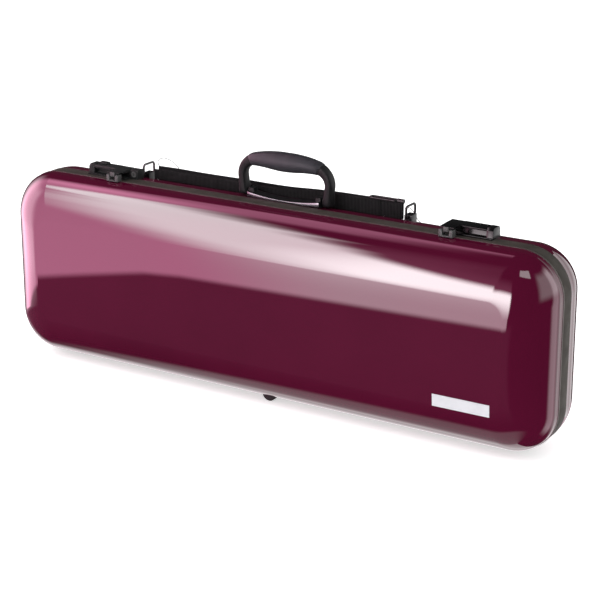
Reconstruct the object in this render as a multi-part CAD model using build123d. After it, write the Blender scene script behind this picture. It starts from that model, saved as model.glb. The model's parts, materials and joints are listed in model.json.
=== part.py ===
"""Oblong violin case: two glossy hard shells on a hinged frame, built as separate pieces.

X runs along the case, Z is up with the case standing on its hinge side, and the lid faces -Y.
The origin is the middle of the case's bounding box at floor level. Millimetres.
"""

import os
from math import radians, tan

from build123d import *

# ---- Overall sizes -------------------------------------------------------------------------
LENGTH = 790.0  # outside of both shells along X
HEIGHT = 248.0  # outside of both shells along Z
CORNER = 55.0  # radius of the case's four corners, seen from the lid
FLOOR_GAP = 7.0  # feet lift the shells this far off the floor
LID_DEPTH = 52.0
BASE_DEPTH = 77.0
BAND = 23.0  # frame between the shells, rim, seal and band together
BACK_FOOT = 4.0  # studs under the case when it lies on its back
PLATE_THICK = 1.2  # name plate on the lid's face
WALL = 3.0  # moulded shell
LINING = 6.0  # padded lining in the base
LID_LINING = 5.0

# ---- Shell form ----------------------------------------------------------------------------
DRAFT = 4.8  # degrees, straight part of the side walls
EDGE_WIDTH = 54.0  # how far the rounded edge reaches in over the face
EDGE_POWER = 1.66  # superellipse power of the rounded edge, 2 is an ellipse
EDGE_SHARE = 0.88  # share of the shell's depth that is rounded
EDGE_STEPS = (0.0, 0.22, 0.42, 0.6, 0.75, 0.87, 0.95, 1.0)
LEAST_CORNER = 4.0

# ---- Depths behind the lid shell's edge ----------------------------------------------------
RIM_DEPTH = 3.0
SEAL_START = 3.2
BAND_START = 4.2
FLANGE = 4.0  # depth of the band's front flange
RIM_WIDTH = 12.0  # rim and flange reach this far in from the outside
BAND_WALL = 4.0
RIM_PROUD = 0.4

SEAM_Y = (LID_DEPTH + PLATE_THICK - BAND - BASE_DEPTH - BACK_FOOT) / 2  # the lid shell's edge
MID_Z = FLOOR_GAP + HEIGHT / 2
TOP_Z = FLOOR_GAP + HEIGHT
BAND_END_Y = SEAM_Y + BAND
LID_FLOOR_Y = SEAM_Y - LID_DEPTH + WALL + LID_LINING  # lining's face inside the lid
BASE_FLOOR_Y = BAND_END_Y + BASE_DEPTH - WALL - LINING

# ---- Lid hinge -----------------------------------------------------------------------------
HINGE_Y = SEAM_Y + 3.1
HINGE_Z = FLOOR_GAP - 0.8
HINGE_X = 150.0  # centres of the two hinges
HINGE_LENGTH = 48.0
KNUCKLE_R = 2.0
HINGE_PIN_R = 0.9
RUNNING = 0.05  # radial clearance of turning fits
LEAF = 1.2
LEAF_HEIGHT = 11.0

# ---- Handle --------------------------------------------------------------------------------
HANDLE_Y = SEAM_Y + 33.0
HANDLE_PIVOT_Z = TOP_Z + 8.5
LEG_INNER_X = 54.0
LEG_OUTER_X = 68.0
LEG_DEPTH = 13.0
GRIP_DEPTH = 27.0
GRIP_TOP = 62.5  # above the shells
GRIP_UNDER = 38.0
GRIP_HALF = 47.0
HANDLE_PIN_R = 2.0

# ---- Latches -------------------------------------------------------------------------------
KEEPER_X = 244.5
KEEPER_WIDTH = 18.5
KEEPER_FRONT = -6.0  # all latch depths are measured from the lid shell's edge
KEEPER_BACK = 2.6
KEEPER_TOP = 9.3  # above the shells
LATCH_END_X = 297.0
CHEEK = 9.0
PIVOT_DEPTH = 29.5
PIVOT_TOP = 5.0
LATCH_PIN_R = 1.5
LEVER_UNDER = 9.6
LEVER_TOP = 13.0

# ---- Interior ------------------------------------------------------------------------------
INSERT_TOP = 14.0  # foam's upper face, behind the lid shell's edge
POCKET_FLOOR = 54.0
BOX_X = (-228.0, -12.0)
BOX_Z = (36.0, 100.0)
BOX_LID_DEPTH = 24.0
BOX_LID = 6.0
BOX_PIN_R = 1.5

NODES = {}


def add(name, shape):
    """Keep a finished piece under its node name."""
    NODES[name] = shape


def box(x, y, z):
    """A block from three (low, high) pairs."""
    size = [high - low for low, high in (x, y, z)]
    middle = [(high + low) / 2 for low, high in (x, y, z)]
    return Pos(*middle) * Box(*size)


def rod_x(x, y, z, radius):
    """A round bar along X between the pair x."""
    return Pos((x[0] + x[1]) / 2, y, z) * Rot(0, 90, 0) * Cylinder(radius, x[1] - x[0])


def rod_y(x, y, z, radius):
    """A round bar along Y between the pair y."""
    return Pos(x, (y[0] + y[1]) / 2, z) * Rot(90, 0, 0) * Cylinder(radius, y[1] - y[0])


def outline(y, inset, corner=CORNER):
    """The case's rounded outline across Y, drawn inset from the shells' open edge."""
    plane = Plane(origin=(0, y, MID_Z), x_dir=(1, 0, 0), z_dir=(0, -1, 0))
    radius = max(corner - inset, LEAST_CORNER)
    return plane * RectangleRounded(LENGTH - 2 * inset, HEIGHT - 2 * inset, radius)


def prism(y_low, y_high, inset):
    """The case's outline carried straight through from y_low to y_high."""
    return extrude(outline(y_high, inset), amount=y_high - y_low)


def ring(y_low, y_high, outer, inner):
    return prism(y_low, y_high, outer) - prism(y_low, y_high, inner)


def pan(edge_y, depth, inset, outward):
    """A drafted block with a wide rounded edge that grows from edge_y along outward Y."""
    straight = depth * (1 - EDGE_SHARE)
    rounded = depth - straight
    slope = straight * tan(radians(DRAFT))
    width = EDGE_WIDTH - inset / 2
    sections = [outline(edge_y, inset)]
    for step in EDGE_STEPS:
        across = width * (1 - (1 - step**EDGE_POWER) ** (1 / EDGE_POWER))
        sections.append(outline(edge_y + outward * (straight + rounded * step), inset + slope + across))
    return loft(sections, ruled=True)


def revolved_disc(x, y_low, y_high, z, radius, edge):
    """A round disc along Y with its front rim rounded."""
    disc = rod_y(x, (y_low, y_high), z, radius)
    return fillet(disc.faces().sort_by(Axis.Y)[0].edges(), edge)


def seated(shape):
    """A fitting trimmed to lie on the outside of the base: its largest piece is kept."""
    case = pan(BAND_END_Y, BASE_DEPTH, 0, 1) + prism(SEAM_Y + BAND_START, BAND_END_Y, 0)
    return (shape - case).solids().sort_by(SortBy.VOLUME)[-1]


# ---- Shells, frame and seal ----------------------------------------------------------------
def notch(x):
    """Room for one hinge's knuckles in the rim, seal and band."""
    half = HINGE_LENGTH / 2 + 0.5
    reach = KNUCKLE_R + 0.4
    return box((x - half, x + half), (HINGE_Y - reach, HINGE_Y + reach), (0, HINGE_Z + reach))


def leaf_box(x, y_low, y_high, spare):
    half = HINGE_LENGTH / 2 + spare
    return box((x - half, x + half), (y_low, y_high), (HINGE_Z, HINGE_Z + LEAF_HEIGHT + spare))


def make_shells():
    lid_cavity = pan(SEAM_Y, LID_DEPTH - WALL, WALL, -1)
    base_cavity = pan(BAND_END_Y, BASE_DEPTH - WALL, WALL, 1)
    add("lid_shell", pan(SEAM_Y, LID_DEPTH, 0, -1) - lid_cavity)
    add("base_shell", pan(BAND_END_Y, BASE_DEPTH, 0, 1) - base_cavity)

    rim = ring(SEAM_Y, SEAM_Y + RIM_DEPTH, -RIM_PROUD, RIM_WIDTH)
    seal = ring(SEAM_Y + SEAL_START, SEAM_Y + BAND_START, 1.0, 6.0)
    band = ring(SEAM_Y + BAND_START, BAND_END_Y, 0, BAND_WALL)
    band += ring(SEAM_Y + BAND_START, SEAM_Y + BAND_START + FLANGE, 0, RIM_WIDTH)
    for side in (-1, 1):
        x = side * HINGE_X
        rim -= notch(x)
        rim -= leaf_box(x, SEAM_Y + RIM_DEPTH - LEAF, SEAM_Y + RIM_DEPTH, 0)
        seal -= leaf_box(x, SEAM_Y, BAND_END_Y, 1.0)
        band -= notch(x)
        band -= leaf_box(x, SEAM_Y + BAND_START, SEAM_Y + BAND_START + LEAF, 0)
    add("lid_rim", rim)
    add("rim_seal", seal)
    add("frame_band", band)

    lid_pad = lid_cavity - pan(SEAM_Y, LID_DEPTH - WALL - LID_LINING, WALL + LID_LINING, -1)
    add("lid_lining", lid_pad)
    inner = WALL + LINING
    tray = base_cavity - pan(BAND_END_Y, BASE_DEPTH - WALL - LINING, inner, 1)
    tray += ring(SEAM_Y + BAND_START + FLANGE, BAND_END_Y, BAND_WALL, inner)
    add("base_lining", tray)


def knuckle(x, bore):
    return rod_x(x, HINGE_Y, HINGE_Z, KNUCKLE_R) - rod_x(x, HINGE_Y, HINGE_Z, bore)


def make_hinges():
    """Two butt hinges in the parting plane: lid leaf, base leaf and pin each."""
    lid_leaves, base_leaves, pins = [], [], []
    third = HINGE_LENGTH / 3
    for side in (-1, 1):
        x = side * HINGE_X
        start = x - HINGE_LENGTH / 2
        bore = rod_x((start - 1, start + HINGE_LENGTH + 1), HINGE_Y, HINGE_Z, HINGE_PIN_R)
        sleeve = rod_x((start - 1, start + HINGE_LENGTH + 1), HINGE_Y, HINGE_Z, KNUCKLE_R + 0.2)

        middle = (start + third, start + 2 * third)
        leaf = leaf_box(x, SEAM_Y + RIM_DEPTH - LEAF, SEAM_Y + RIM_DEPTH, 0) - sleeve
        web = box(middle, (SEAM_Y + RIM_DEPTH - LEAF, SEAM_Y + RIM_DEPTH), (HINGE_Z, HINGE_Z + 2.8))
        web -= rod_x(middle, HINGE_Y, HINGE_Z, HINGE_PIN_R + RUNNING)
        lid_leaves.append(leaf + web + knuckle(middle, HINGE_PIN_R + RUNNING))

        leaf = leaf_box(x, SEAM_Y + BAND_START, SEAM_Y + BAND_START + LEAF, 0) - sleeve
        for low in (start, start + 2 * third):
            span = (low + 0.2, low + third - 0.2)
            web = box(span, (SEAM_Y + BAND_START, SEAM_Y + BAND_START + LEAF), (HINGE_Z, HINGE_Z + 2.8))
            leaf += (web + knuckle(span, HINGE_PIN_R)) - bore
        base_leaves.append(leaf)
        pins.append(rod_x((start - 0.3, start + HINGE_LENGTH + 0.3), HINGE_Y, HINGE_Z, HINGE_PIN_R))
    add("hinge_lid_leaves", Compound(lid_leaves))
    add("hinge_base_leaves", Compound(base_leaves))
    add("hinge_pins", Compound(pins))


# ---- Feet and badge ------------------------------------------------------------------------
FOOT_R = 10.0
FRONT_FOOT_X = 313.5
REAR_FOOT_X = 230.0
REAR_FOOT_DEPTH = 60.0
STUD_X = 300.0
STUD_Z = 66.0


def half_disc(x, y, top):
    """A half-round tab, flat side up at height top, standing on the floor."""
    disc = rod_y(x, y, FOOT_R, FOOT_R)
    return disc & box((x - FOOT_R, x + FOOT_R), y, (0, top))


def make_feet():
    """Half-round tabs under the seam, rubber feet under the base and studs on its back."""
    centre = half_disc(0, (SEAM_Y - 10, SEAM_Y - 3), FLOOR_GAP + 4)
    add("centre_foot", centre - pan(SEAM_Y, LID_DEPTH, 0, -1))
    for side, name in ((-1, "left"), (1, "right")):
        front = half_disc(side * FRONT_FOOT_X, (SEAM_Y + 5, SEAM_Y + 17), FLOOR_GAP)
        add(f"front_foot_{name}", front)
    rear = []
    for side in (-1, 1):
        pad = Pos(side * REAR_FOOT_X, SEAM_Y + REAR_FOOT_DEPTH, 10) * Box(44, 20, 20)
        pad = fillet(pad.edges().filter_by(Axis.Z), 6)
        rear.append(seated(pad))
    add("rear_feet", Compound(rear))
    studs = []
    back = BAND_END_Y + BASE_DEPTH
    for sx in (-1, 1):
        for sz in (-1, 1):
            stud = rod_y(sx * STUD_X, (back, back + BACK_FOOT), MID_Z + sz * STUD_Z, 9)
            studs.append(fillet(stud.faces().sort_by(Axis.Y)[-1].edges(), 2))
    add("back_studs", Compound(studs))


PLATE = ((254.5, 329.5), (60.0, 75.5))  # X and Z of the badge on the lid's face


def make_plate():
    (x0, x1), (z0, z1) = PLATE
    front = SEAM_Y - LID_DEPTH
    plate = box((x0, x1), (front - PLATE_THICK, front), (z0, z1))
    plate = fillet(plate.edges().filter_by(Axis.Y), 1.5)
    add("name_plate", plate)


# ---- Latches -------------------------------------------------------------------------------
def depth(low, high):
    return (SEAM_Y + low, SEAM_Y + high)


def above(low, high):
    return (TOP_Z + low, TOP_Z + high)


def keeper(x):
    """U-shaped catch on the lid's rim, open at its top and back."""
    half = KEEPER_WIDTH / 2
    block = box((x - half, x + half), depth(KEEPER_FRONT, KEEPER_BACK), above(0.45, KEEPER_TOP))
    block -= box((x - 4.6, x + 4.6), depth(KEEPER_FRONT - 1, KEEPER_BACK + 1), above(2.2, KEEPER_TOP + 1))
    return block


def make_latch(name, side):
    """One L-shaped latch: the arm reaches over the band to the keeper, the bar runs outwards."""
    x = side * KEEPER_X
    half = KEEPER_WIDTH / 2
    pivot = (SEAM_Y + PIVOT_DEPTH, TOP_Z + PIVOT_TOP)

    def span(low, high):
        return tuple(sorted((side * low, side * high)))

    arm_in, arm_out = KEEPER_X - half, KEEPER_X + half
    bar_end = LATCH_END_X - CHEEK
    add(f"latch_{name}_keeper", keeper(x))

    base = box(span(arm_in, LATCH_END_X), depth(11, 32.5), above(-3, 2.0))
    base += box(span(arm_out + 1.2, bar_end), depth(20, 31.5), above(-3, 8.2))
    cheek = box(span(bar_end + 0.3, LATCH_END_X), depth(13.6, 33), above(-3, 13.6))
    cheek = chamfer(cheek.edges().filter_by(Axis.X).group_by(Axis.Z)[-1], 3)
    base += cheek
    base -= rod_x(span(arm_out, bar_end + 5), *pivot, LATCH_PIN_R)
    add(f"latch_{name}_base", seated(base))

    plate = Polyline(
        (SEAM_Y - 3.4, TOP_Z + LEVER_UNDER + 1.6),
        (SEAM_Y + 12, TOP_Z + LEVER_UNDER + 1.6),
        (SEAM_Y + 14, TOP_Z + LEVER_UNDER),
        (SEAM_Y + 32, TOP_Z + LEVER_UNDER),
        (SEAM_Y + 32, TOP_Z + LEVER_TOP - 1.5),
        (SEAM_Y + 30, TOP_Z + LEVER_TOP),
        (SEAM_Y + 15, TOP_Z + LEVER_TOP),
        (SEAM_Y - 3.4, TOP_Z + LEVER_TOP - 0.6),
        close=True,
    )
    profile = Plane.YZ * make_face(plate)
    low, high = span(arm_in, arm_out)
    arm = Pos(low, 0, 0) * extrude(profile, amount=high - low)
    bar = box(span(arm_out - 1, bar_end), depth(13.6, 32), above(LEVER_UNDER, LEVER_TOP))
    bar = chamfer(bar.edges().filter_by(Axis.X).group_by(Axis.Z)[-1], 1.2)
    lug = box(span(arm_in, arm_out), depth(26.8, 32), above(PIVOT_TOP, LEVER_UNDER + 0.2))
    lug += rod_x(span(arm_in, arm_out), *pivot, 2.6)
    lever = arm + bar + lug
    lever -= rod_x(span(arm_in - 1, arm_out + 1), *pivot, LATCH_PIN_R + RUNNING)
    add(f"latch_{name}_lever", lever)

    strip = box((x - 3.4, x + 3.4), depth(-5.4, 11), above(LEVER_UNDER, LEVER_UNDER + 1.6))
    nose = box((x - 3.4, x + 3.4), depth(-5.4, -3.4), above(7.0, LEVER_UNDER + 3.0))
    add(f"latch_{name}_hook", strip + nose)
    add(f"latch_{name}_pin", rod_x(span(arm_in + 0.5, bar_end + 5), *pivot, LATCH_PIN_R))


def make_lock():
    """The left latch's lock housing with its key barrel, and the sliding lock button."""
    x = -(KEEPER_X - KEEPER_WIDTH / 2)
    housing = box((x + 0.5, x + 13.5), depth(20, 33), above(-3, 12.4))
    housing = chamfer(housing.edges().filter_by(Axis.X).group_by(Axis.Z)[-1], 1.5)
    hole = rod_y(x + 7, depth(19, 26), TOP_Z + 6.5, 4.0)
    barrel = rod_y(x + 7, depth(19.4, 25.9), TOP_Z + 6.5, 4.0 - RUNNING)
    barrel -= box((x + 6.5, x + 7.5), depth(19, 23), above(4.5, 8.5))
    add("lock_housing", seated(housing - hole))
    add("lock_barrel", barrel)
    knob = box((-286, -273), depth(21, 29), above(LEVER_TOP, LEVER_TOP + 3.2))
    knob = chamfer(knob.faces().sort_by(Axis.Z)[-1].edges(), 1.0)
    add("lock_slider", knob)


# ---- Handle --------------------------------------------------------------------------------
def make_handle():
    """Bail with two flat legs and a fat soft grip, on a boat-shaped base with bright edges."""
    low = TOP_Z + 1.5
    for side, name in ((-1, "left"), (1, "right")):
        profile = Polyline(
            (side * LEG_INNER_X, low),
            (side * LEG_OUTER_X, low),
            (side * (LEG_OUTER_X + 2), TOP_Z + 30),
            (side * (LEG_OUTER_X - 3), TOP_Z + 42),
            (side * GRIP_HALF, TOP_Z + 56),
            (side * GRIP_HALF, TOP_Z + 40),
            (side * (LEG_INNER_X + 1), TOP_Z + 32),
            close=True,
        )
        leg = extrude(Plane.XZ * make_face(profile), amount=LEG_DEPTH / 2, both=True)
        leg = Pos(0, HANDLE_Y, 0) * leg
        foot = leg.edges().filter_by(Axis.X).group_by(Axis.Z)[0]
        leg = fillet(foot, 4.0)
        leg -= rod_x((side * 60 - 12, side * 60 + 12), HANDLE_Y, HANDLE_PIVOT_Z, HANDLE_PIN_R + RUNNING)
        add(f"handle_leg_{name}", leg)

    top = ThreePointArc((-GRIP_HALF, TOP_Z + 55), (0, TOP_Z + GRIP_TOP), (GRIP_HALF, TOP_Z + 55))
    under = ThreePointArc((GRIP_HALF, TOP_Z + 41), (0, TOP_Z + GRIP_UNDER), (-GRIP_HALF, TOP_Z + 41))
    right = Line(top @ 1, under @ 0)
    left = Line(under @ 1, top @ 0)
    side_view = extrude(Plane.XZ * make_face([top, right, under, left]), amount=20, both=True)
    ahead = ThreePointArc((-GRIP_HALF, -LEG_DEPTH / 2), (0, -GRIP_DEPTH / 2), (GRIP_HALF, -LEG_DEPTH / 2))
    behind = ThreePointArc((GRIP_HALF, LEG_DEPTH / 2), (0, GRIP_DEPTH / 2), (-GRIP_HALF, LEG_DEPTH / 2))
    ends = [Line(ahead @ 1, behind @ 0), Line(behind @ 1, ahead @ 0)]
    plan = extrude(Plane.XY * make_face([ahead, ends[0], behind, ends[1]]), amount=TOP_Z + 80)
    grip = Pos(0, HANDLE_Y, 0) * (side_view & plan)
    add("handle_grip", grip)

    y = (HANDLE_Y - 7.5, HANDLE_Y + 7.5)
    base = box((-53, 53), y, above(-3, 7.5))
    scoop_r = 290.0
    scoop = Pos(0, HANDLE_Y, TOP_Z + 2.6 + scoop_r) * Rot(90, 0, 0) * Cylinder(scoop_r, 40)
    base -= scoop
    lugs = [box(span, (HANDLE_Y - 5, HANDLE_Y + 5), above(-3, 12)) for span in ((-53, -46), (46, 53))]
    base += lugs[0] + lugs[1]
    base -= rod_x((-80, 80), HANDLE_Y, HANDLE_PIVOT_Z, HANDLE_PIN_R)
    add("handle_base", seated(base))
    for name, front in (("front", HANDLE_Y - 9.2), ("rear", HANDLE_Y + 7.5)):
        trim = box((-53, 53), (front, front + 1.7), above(-3, 8.0)) - scoop
        add(f"handle_trim_{name}", seated(trim))
    pins = [rod_x(span, HANDLE_Y, HANDLE_PIVOT_Z, HANDLE_PIN_R) for span in ((-66, -47), (47, 66))]
    add("handle_pins", Compound(pins))


# ---- Shoulder strap ------------------------------------------------------------------------
STRAP_DEPTH = (45.8, 57.0)
STRAP_X = (-218.0, 160.0)
RING_X = (-227.0, 167.0)
RING_DEPTH = 52.0
RING_WIRE = 1.5


def make_strap():
    """The folded carrying strap behind the handle, its rings and their anchors."""
    profile = Polyline(
        (STRAP_X[0], TOP_Z - 2.6),
        (STRAP_X[1], TOP_Z - 2.6),
        (STRAP_X[1], TOP_Z + 15.5),
        (80, TOP_Z + 15.5),
        (-60, TOP_Z + 10.5),
        (STRAP_X[0], TOP_Z + 11.5),
        close=True,
    )
    y_low, y_high = depth(*STRAP_DEPTH)
    bundle = extrude(Plane.XZ * make_face(profile), amount=-(y_high - y_low))
    add("carry_strap", Pos(0, y_low, 0) * bundle)

    for name, x in (("left", RING_X[0]), ("right", RING_X[1])):
        middle = SEAM_Y + RING_DEPTH
        foot = seated(box((x - 5, x + 5), (middle - 7, middle + 7), above(-12, 3.5)))
        foot -= rod_y(x, (middle - 12, middle + 12), TOP_Z, RING_WIRE + 0.1)
        add(f"strap_anchor_{name}", foot)
        wide, tall = 11.5, 15.0
        path = FilletPolyline(
            (x, middle - wide, TOP_Z),
            (x, middle + wide, TOP_Z),
            (x, middle + wide, TOP_Z + tall),
            (x, middle - wide, TOP_Z + tall),
            radius=4,
            close=True,
        )
        start = Plane(origin=(x, middle, TOP_Z), z_dir=(0, 1, 0))
        add(f"strap_ring_{name}", sweep(start * Circle(RING_WIRE), path=path))

    hook_z = TOP_Z + 18.5
    hook_y = SEAM_Y + 50
    path = FilletPolyline(
        (112, hook_y - 4, hook_z),
        (150, hook_y - 4, hook_z),
        (150, hook_y + 4, hook_z),
        (112, hook_y + 4, hook_z),
        radius=3.4,
        close=True,
    )
    start = Plane(origin=(130, hook_y - 4, hook_z), z_dir=(1, 0, 0))
    hook = sweep(start * Circle(1.3), path=path)
    barrel = rod_x((150, 159), hook_y, hook_z, 2.8) - hook
    add("snap_hook", hook)
    add("snap_swivel", barrel.solids().sort_by(Axis.X)[-1])


# ---- Interior ------------------------------------------------------------------------------
LOWER_BOUT = (265.0, 98.0, 105.0)  # centre X, half length, half width
UPPER_BOUT = (102.0, 86.0, 88.0)
WAIST_HALF = 66.0
NECK_X = (-236.0, 40.0)
NECK_HALF = 24.0
END_BOX_X = (-368.0, -252.0)
END_BOX_HALF = 92.0
# Cuts along X that leave each block of the insert nearly convex, so that its pockets stay open
# in collision. They are a modelling split, not seams known on the real foam.
BLOCK_CUTS = (-368, -362, -348, -272, -258, -252, -236, -228, -12, 16, 24)
BLOCK_CUTS += (42, 70, 102, 134, 162, 190, 212, 240, 290, 318, 345)


def pocket(shape, deep):
    """A straight pocket of the given outline, cut from the foam's upper face to a depth."""
    plane = Plane(origin=(0, SEAM_Y + deep, MID_Z), x_dir=(1, 0, 0), z_dir=(0, -1, 0))
    return extrude(plane * shape, amount=deep - INSERT_TOP + 1)


def in_blocks(foam):
    """The insert split into a floor sheet and wall blocks, face to face, for its collision."""
    floor_y = SEAM_Y + POCKET_FLOOR
    blocks = (foam & box((-500, 500), (floor_y, floor_y + 100), (0, 300))).solids()
    cuts = (-500, *BLOCK_CUTS, 500)
    for span in zip(cuts, cuts[1:]):
        for rows in ((0, MID_Z), (MID_Z, 300)):
            blocks += (foam & box(span, (SEAM_Y, floor_y), rows)).solids()
    return Compound(blocks)


def make_insert():
    inner = WALL + LINING
    foam = pan(BAND_END_Y, BASE_DEPTH - inner, inner, 1)
    foam += prism(SEAM_Y + INSERT_TOP, BAND_END_Y, inner)
    for centre, half_length, half_width in (LOWER_BOUT, UPPER_BOUT):
        foam -= pocket(Pos(centre, 0) * Ellipse(half_length, half_width), POCKET_FLOOR)
    foam -= pocket(Pos(183, 0) * Rectangle(150, 2 * WAIST_HALF), POCKET_FLOOR)
    neck_middle, neck_length = sum(NECK_X) / 2, NECK_X[1] - NECK_X[0]
    foam -= pocket(Pos(neck_middle, 0) * Rectangle(neck_length, 2 * NECK_HALF), POCKET_FLOOR)
    middle_x, long_x = sum(BOX_X) / 2, BOX_X[1] - BOX_X[0]
    middle_z, wide_z = sum(BOX_Z) / 2, BOX_Z[1] - BOX_Z[0]
    for side in (-1, 1):
        foam -= pocket(Pos(middle_x, side * middle_z) * Rectangle(long_x, wide_z), POCKET_FLOOR)
    end_x, end_long = sum(END_BOX_X) / 2, END_BOX_X[1] - END_BOX_X[0]
    foam -= pocket(Pos(end_x, 0) * RectangleRounded(end_long, 2 * END_BOX_HALF, 20), POCKET_FLOOR)

    pin = (SEAM_Y + BOX_LID_DEPTH + BOX_LID / 2, MID_Z + BOX_Z[0] + 4)
    foam -= rod_x((BOX_X[0] - 6, BOX_X[1] + 6), *pin, BOX_PIN_R)
    add("suspension_insert", in_blocks(foam))
    add("box_lid_pin", rod_x((BOX_X[0] - 6, BOX_X[1] + 6), *pin, BOX_PIN_R))

    lid = box(
        (BOX_X[0] + 1, BOX_X[1] - 1),
        (pin[0] - BOX_LID / 2, pin[0] + BOX_LID / 2),
        (pin[1], MID_Z + BOX_Z[1] - 1.5),
    )
    lid += rod_x((BOX_X[0] + 1, BOX_X[1] - 1), *pin, BOX_LID / 2)
    lid -= rod_x((BOX_X[0], BOX_X[1]), *pin, BOX_PIN_R + RUNNING)
    add("box_lid", lid)
    tab = box((middle_x - 9, middle_x + 9), (pin[0] - 4.6, pin[0] - 3), (MID_Z + 70, MID_Z + 98))
    add("box_lid_tab", fillet(tab.edges().filter_by(Axis.Y).group_by(Axis.Z)[-1], 6))

    y_low, y_high = depth(POCKET_FLOOR - 18, POCKET_FLOOR)
    cradle = box((-90, -50), (y_low, y_high), (MID_Z - NECK_HALF, MID_Z + NECK_HALF))
    cradle -= Pos(-70, y_low, MID_Z) * Rot(0, 90, 0) * Cylinder(17, 60)
    add("neck_cradle", cradle)
    strap = box((-83, -57), depth(INSERT_TOP - 2, INSERT_TOP), (MID_Z - 34, MID_Z + 34))
    add("neck_strap", fillet(strap.edges().filter_by(Axis.Y), 5))


BOW_X = 322.0
BOW_Z = 48.0


def make_lid_fittings():
    """Bow holders and a hygrometer on the lid's lining."""
    face = LID_FLOOR_Y
    for name, z in (("upper", MID_Z + BOW_Z), ("lower", MID_Z - BOW_Z)):
        holder = box((-BOW_X - 13, -BOW_X + 13), (face, face + 15), (z - 12, z + 12))
        holder = fillet(holder.edges().filter_by(Axis.Y), 4)
        holder -= box((-BOW_X - 8, -BOW_X + 14), (face + 2, face + 12), (z - 7, z + 7))
        add(f"bow_tip_holder_{name}", holder)
        boss = rod_y(BOW_X, (face, face + 3), z, 9)
        post = rod_y(BOW_X, (face + 3, face + 17), z, 3)
        add(f"bow_post_{name}", boss + post)
        arm = box((BOW_X - 16, BOW_X + 16), (face + 12, face + 17), (z - 6, z + 6))
        arm = fillet(arm.edges().filter_by(Axis.Y), 5.5)
        add(f"bow_spinner_{name}", arm - rod_y(BOW_X, (face, face + 20), z, 3 + RUNNING))
    meter = revolved_disc(-200, face, face + 7, MID_Z, 22, 0.8)
    well = rod_y(-200, (face + 4.5, face + 8), MID_Z, 18.5)
    add("hygrometer_case", meter - well)
    add("hygrometer_dial", rod_y(-200, (face + 4.5, face + 5.2), MID_Z, 18.5))
    add("hygrometer_glass", rod_y(-200, (face + 6.2, face + 7), MID_Z, 18.5))


# ---- Tag threads ---------------------------------------------------------------------------
THREAD = 0.8  # diameter of the nylon threads left on the strap
BEND_SHARE = 0.45  # each bend is as wide as this share of its shorter run allows

# Points as X, depth behind the lid shell's edge, height above the shells.
LEFT_THREAD = (
    (-215, 57.2, 8),
    (-216, 61.5, 9.5),
    (-220.5, 62.5, 15),
    (-217, 62, 20.5),
    (-208, 62.5, 22.6),
    (-198, 62, 20.6),
    (-189.5, 62.4, 15.4),
    (-182.5, 61.8, 8.5),
    (-179, 61.2, 3.5),
    (-178, 57.2, 2),
)
RIGHT_THREAD = (
    (156, 57.2, 8),
    (157, 61.5, 8.8),
    (160, 66, 6),
    (164, 68.4, 0),
    (167.5, 68, -6),
    (171.5, 68.6, -10.5),
    (176.5, 69.4, -13.2),
)


def make_thread(name, route):
    """A thin tube along straight runs that are joined by wide tangent arcs."""
    points = [Vector(x, SEAM_Y + deep, TOP_Z + high) for x, deep, high in route]
    runs = [b - a for a, b in zip(points, points[1:])]
    radii = []
    for one, other in zip(runs, runs[1:]):
        turn = radians(one.get_angle(other))
        radii.append(BEND_SHARE * min(one.length, other.length) / tan(turn / 2))
    path = FilletPolyline(*points, radius=radii)
    start = Plane(origin=path @ 0, z_dir=path % 0)
    add(name, sweep(start * Circle(THREAD / 2), path=path))
    print(name, "bend radii", [round(radius, 1) for radius in radii])


def main():
    make_shells()
    make_hinges()
    make_feet()
    make_plate()
    for name, side in (("left", -1), ("right", 1)):
        make_latch(name, side)
    make_lock()
    make_handle()
    make_strap()
    make_insert()
    make_lid_fittings()
    make_thread("tag_thread_left", LEFT_THREAD)
    make_thread("tag_thread_right", RIGHT_THREAD)
    os.makedirs("parts", exist_ok=True)
    for name, shape in NODES.items():
        export_step(shape, f"parts/{name}.step")
    print(len(NODES), "nodes")


main()
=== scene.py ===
"""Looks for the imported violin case: shells, fittings, strap, linings, studio light and camera."""

import json
import math

import bmesh
import bpy
from mathutils import Matrix, Vector


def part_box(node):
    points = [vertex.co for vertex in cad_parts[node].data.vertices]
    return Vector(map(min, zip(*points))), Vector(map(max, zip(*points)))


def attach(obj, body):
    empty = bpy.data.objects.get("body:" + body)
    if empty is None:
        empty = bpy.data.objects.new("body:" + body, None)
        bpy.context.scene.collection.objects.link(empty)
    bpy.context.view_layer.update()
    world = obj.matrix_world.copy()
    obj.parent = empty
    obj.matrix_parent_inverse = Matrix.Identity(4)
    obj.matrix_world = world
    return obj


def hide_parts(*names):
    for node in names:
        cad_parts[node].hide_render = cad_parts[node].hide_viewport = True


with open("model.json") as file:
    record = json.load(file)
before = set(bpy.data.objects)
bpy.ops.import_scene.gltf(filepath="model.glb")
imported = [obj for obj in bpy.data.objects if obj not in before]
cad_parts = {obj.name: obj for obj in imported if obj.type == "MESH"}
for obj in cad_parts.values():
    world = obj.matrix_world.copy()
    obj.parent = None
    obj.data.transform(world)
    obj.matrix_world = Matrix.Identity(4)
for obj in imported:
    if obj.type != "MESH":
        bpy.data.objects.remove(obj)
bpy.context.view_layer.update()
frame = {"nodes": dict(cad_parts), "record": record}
RECORD = frame["record"]
BODY_OF = {n: b for b, ns in RECORD["behaviour"]["bodies"].items() for n in ns}
SLOT_OF = {s["node"]: s["material_slot"] for s in RECORD["subparts"]}
MM = 0.001

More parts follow.
